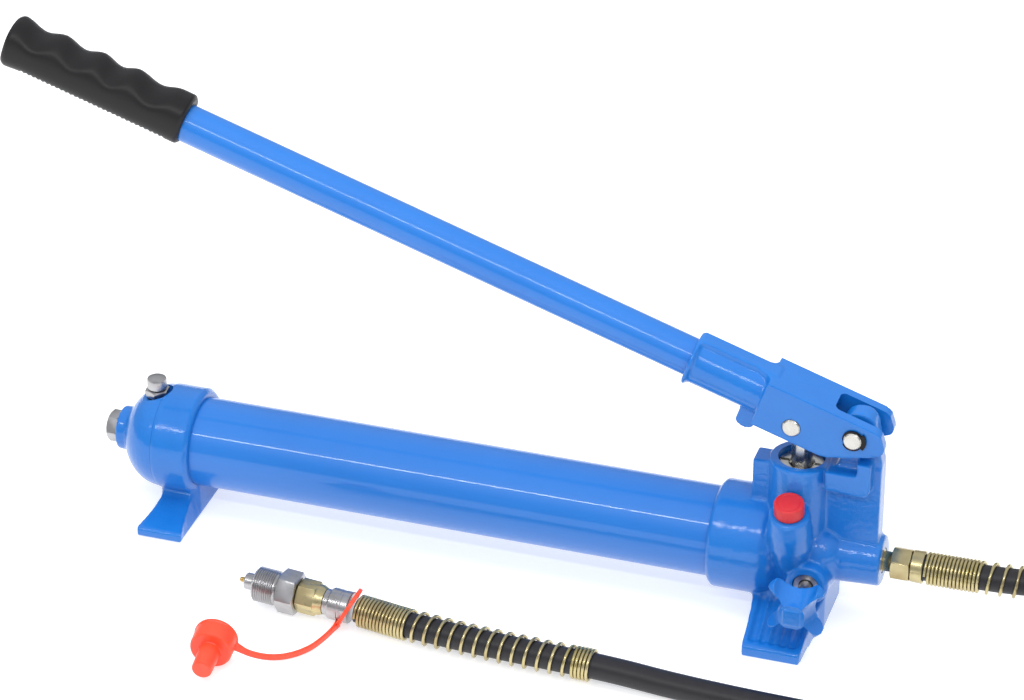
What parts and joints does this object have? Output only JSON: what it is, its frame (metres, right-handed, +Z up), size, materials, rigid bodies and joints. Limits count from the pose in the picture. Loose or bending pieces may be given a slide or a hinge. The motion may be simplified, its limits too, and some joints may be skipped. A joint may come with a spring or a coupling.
{
  "type": "hydraulic hand pump",
  "caption": "Lever-operated hydraulic hand pump with a tubular oil reservoir, release knob, relief valve and a hose ending in a screw coupler.",
  "frame": {"origin": "on the floor, under the middle of the front foot and the plunger's axis", "axes": "+X along the reservoir from the rear cap towards the hose outlet, -Y the side with the release knob, +Z up"},
  "size_m": [0.863, 0.2584, 0.3274],
  "materials": {
    "blue_enamel": "gloss stoved enamel on drawn steel tube",
    "blue_cast_enamel": "gloss enamel over a sand-cast surface, lightly orange-peeled",
    "bright_zinc": "bright zinc plate on turned steel",
    "yellow_zinc": "yellow chromated zinc plate",
    "turned_steel": "ground and turned bare steel",
    "black_steel": "black oxide spring steel",
    "brass": "turned brass",
    "copper": "annealed copper",
    "hose_rubber": "smooth black thermoplastic hose cover, satin",
    "seal_rubber": "black nitrile rubber",
    "tie_rubber": "matt black rubber band",
    "grip_rubber": "moulded black vinyl, satin",
    "red_plastic": "moulded red polyethylene",
    "orange_plastic": "moulded orange-red polyethylene"
  },
  "bodies": {
    "pump": {"reservoir_tube": "blue_enamel", "rear_tube_seal": "seal_rubber", "front_tube_seal": "seal_rubber", "tie_bolt": "bright_zinc", "tie_bolt_seal": "copper", "rear_end_cap": "blue_cast_enamel", "filler_seal": "seal_rubber", "filler_plug_body": "bright_zinc", "pump_body": "blue_cast_enamel", "gland_nut": "turned_steel", "plunger_seal": "seal_rubber", "inlet_seat": "turned_steel", "inlet_ball_stop": "turned_steel", "suction_tube": "copper", "suction_strainer": "brass", "outlet_spring": "turned_steel", "outlet_adapter": "yellow_zinc", "relief_spring": "turned_steel", "relief_screw": "turned_steel", "release_seal": "seal_rubber", "release_gland": "bright_zinc", "pivot_pin": "turned_steel", "pivot_clip_near": "black_steel", "pivot_clip_far": "black_steel", "hose_pump_end": "hose_rubber", "hose_tool_end": "hose_rubber", "hose_coil": "hose_rubber", "coil_tie": "tie_rubber", "pump_end_guard": "yellow_zinc", "tool_end_guard": "yellow_zinc", "pump_end_ferrule": "yellow_zinc", "tool_end_ferrule": "yellow_zinc", "hose_nut": "bright_zinc", "coupler_body": "bright_zinc", "coupler_spring": "turned_steel", "dust_cap": "orange_plastic", "dust_cap_strap": "orange_plastic", "dust_cap_loop": "orange_plastic"},
    "handle": {"handle_head": "blue_cast_enamel", "handle_tube": "blue_enamel", "handle_grip": "grip_rubber", "plunger_pin": "turned_steel"},
    "plunger": {"plunger": "turned_steel"},
    "release_stem": {"release_needle": "turned_steel"},
    "release_knob": {"release_spindle": "bright_zinc", "release_knob": "blue_cast_enamel"},
    "vent_cap": {"vent_cap": "bright_zinc"},
    "relief_cap": {"relief_cap": "red_plastic"},
    "inlet_ball": {"inlet_ball": "turned_steel"},
    "outlet_ball": {"outlet_ball": "turned_steel"},
    "relief_ball": {"relief_ball": "turned_steel"},
    "coupler_poppet": {"coupler_poppet": "brass"}
  },
  "joints": [
    {"name": "handle_swing", "type": "hinge", "parent": "pump", "child": "handle", "pos_m": [0.0343, 0, 0.1361], "axis": [0, 1, 0], "range_deg": [-16, 28]},
    {"name": "plunger_stroke", "type": "slide", "parent": "pump", "child": "plunger", "axis": [0, 0, 1], "range_m": [-0.0106, 0.0184]},
    {"name": "release_travel", "type": "slide", "parent": "pump", "child": "release_stem", "axis": [0, -1, 0], "range_m": [0, 0.0025]},
    {"name": "release_turn", "type": "hinge", "parent": "release_stem", "child": "release_knob", "pos_m": [0.0127, -0.05, 0.035], "axis": [0, -1, 0], "range_deg": [0, 540]},
    {"name": "vent_cap_turn", "type": "hinge", "parent": "pump", "child": "vent_cap", "pos_m": [-0.423, 0, 0.08], "axis": [0, 0, 1], "range_deg": [0, 360]},
    {"name": "relief_cap_pull", "type": "slide", "parent": "pump", "child": "relief_cap", "axis": [0, -0.2079, 0.9781], "range_m": [0, 0.012]},
    {"name": "inlet_ball_lift", "type": "slide", "parent": "pump", "child": "inlet_ball", "axis": [0, 0, 1], "range_m": [0, 0.0012]},
    {"name": "outlet_ball_lift", "type": "slide", "parent": "pump", "child": "outlet_ball", "axis": [1, 0, 0], "range_m": [0, 0.0009], "stiffness_N_per_m": 150, "springref_m": -0.002, "deforming": ["outlet_spring"]},
    {"name": "relief_ball_lift", "type": "slide", "parent": "pump", "child": "relief_ball", "axis": [0, -0.2079, 0.9781], "range_m": [0, 0.0006], "stiffness_N_per_m": 400, "springref_m": -0.002, "deforming": ["relief_spring"]},
    {"name": "coupler_poppet_press", "type": "slide", "parent": "pump", "child": "coupler_poppet", "axis": [0.9972, -0.0605, -0.043], "range_m": [0, 0.004], "stiffness_N_per_m": 600, "springref_m": -0.002, "deforming": ["coupler_spring"]}
  ],
  "couplings": [
    {"joint": "plunger_stroke", "follows": "handle_swing", "m_per_rad": 0.037},
    {"joint": "release_travel", "follows": "release_turn", "m_per_rad": 0.00023873}
  ]
}
